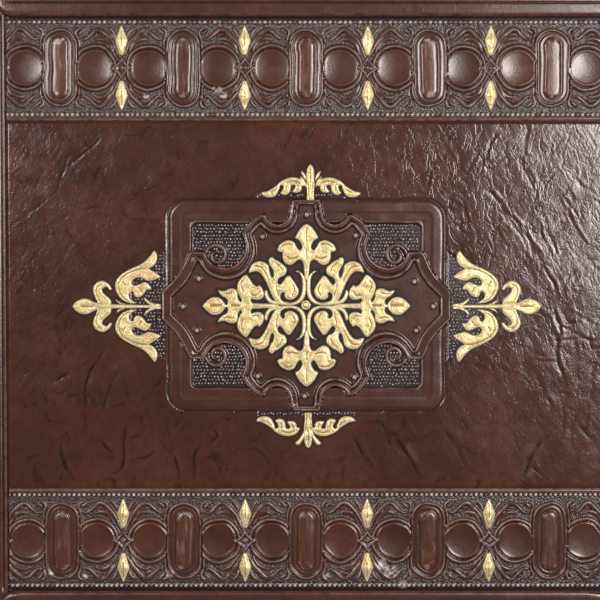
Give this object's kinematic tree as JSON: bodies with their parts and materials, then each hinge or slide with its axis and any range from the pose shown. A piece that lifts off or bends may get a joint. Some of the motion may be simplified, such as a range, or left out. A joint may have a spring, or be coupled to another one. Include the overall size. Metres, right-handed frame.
{
  "type": "leather album",
  "caption": "Closed leather-bound album with an embossed and gilded front cover, a rounded spine and covers that swing open on its joints.",
  "frame": {"origin": "middle of the back cover's flat outer face, on the table", "axes": "+X from the spine to the fore edge, +Y from the tail to the head, +Z from the back cover to the front cover"},
  "size_m": [0.2318, 0.276, 0.0563],
  "materials": {
    "leather": "glossy dark brown, crinkled, worn on the edges",
    "gilding": "pale gold leaf with dull specks",
    "leaves": "thick cream card",
    "board": "grey-brown millboard",
    "lining": "plain cream paper"
  },
  "bodies": {
    "book_block": {"page_block": "leaves", "spine_board": "board", "spine_leather": "leather"},
    "front_cover": {"front_board": "board", "front_leather": "leather", "front_gilding": "gilding", "front_pastedown": "lining"},
    "back_cover": {"back_board": "board", "back_leather": "leather", "back_pastedown": "lining"}
  },
  "joints": [
    {"name": "front_hinge", "type": "hinge", "parent": "book_block", "child": "front_cover", "pos_m": [-0.1128, 0, 0.0547], "axis": [0, -1, 0], "range_deg": [0, 180]},
    {"name": "back_hinge", "type": "hinge", "parent": "book_block", "child": "back_cover", "pos_m": [-0.1128, 0, 0.0015], "axis": [0, 1, 0], "range_deg": [0, 180]}
  ]
}
